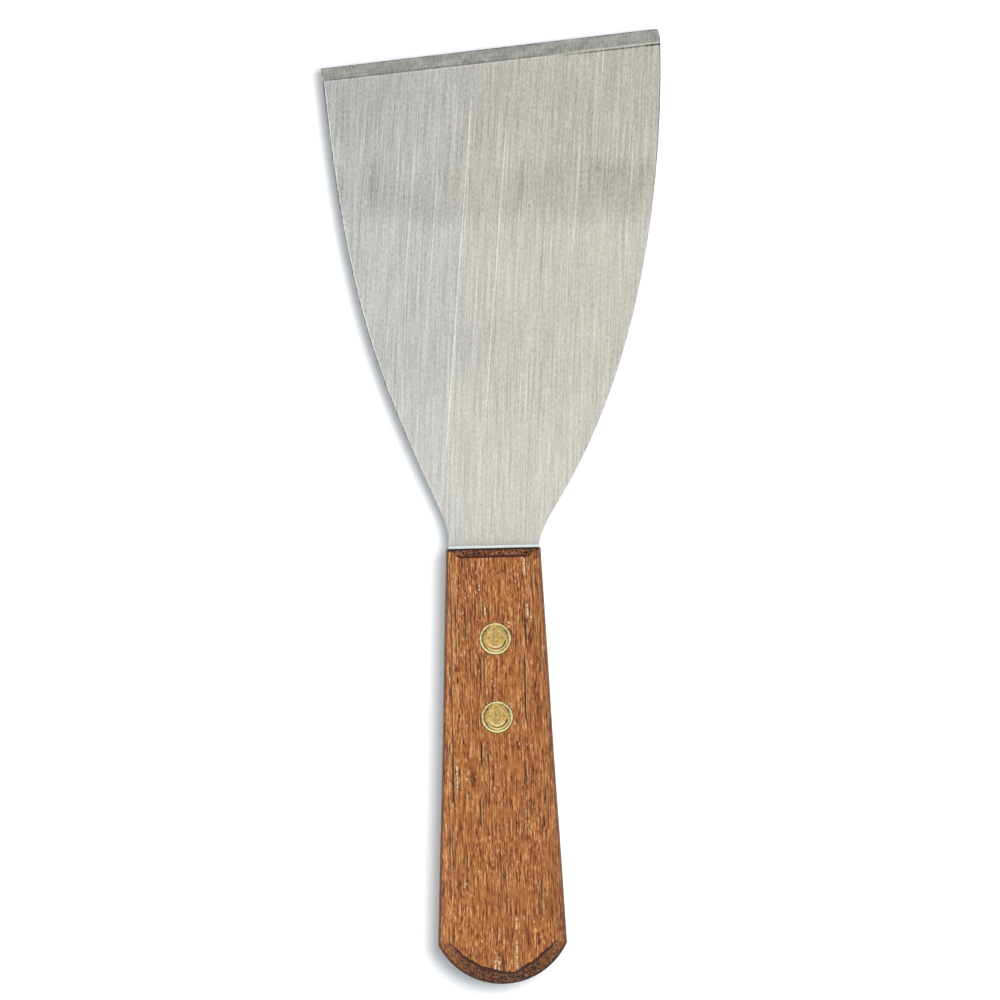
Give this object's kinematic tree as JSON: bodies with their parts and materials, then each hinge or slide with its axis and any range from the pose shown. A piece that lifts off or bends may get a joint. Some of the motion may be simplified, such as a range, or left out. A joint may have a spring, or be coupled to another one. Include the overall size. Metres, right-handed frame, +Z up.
{
  "type": "palette knife",
  "caption": "Broad palette knife with a fan-shaped brushed steel blade, ground on one face, riveted with brass into a chamfered hardwood handle.",
  "frame": {"origin": "middle of the bounding box in X and Y, at the height of the handle's lower broad face, which is the lowest plane of the knife", "axes": "+Y along the handle towards the blade's edge, +X to the right seen from above, +Z up, out of the face on which the edge is ground"},
  "size_m": [0.0892, 0.2496, 0.018],
  "materials": {
    "blade_steel": "stainless sheet with fine brushed lines along its length, duller on the ground bevel",
    "handle_wood": "reddish-brown open-pored hardwood, lightly oiled, with darker end grain",
    "rivet_brass": "turned brass with a bright rim and concentric rings"
  },
  "bodies": {
    "root": {"blade": "blade_steel", "handle": "handle_wood", "front_rivet_socket": "rivet_brass", "front_rivet_post": "rivet_brass", "rear_rivet_socket": "rivet_brass", "rear_rivet_post": "rivet_brass"}
  },
  "joints": []
}
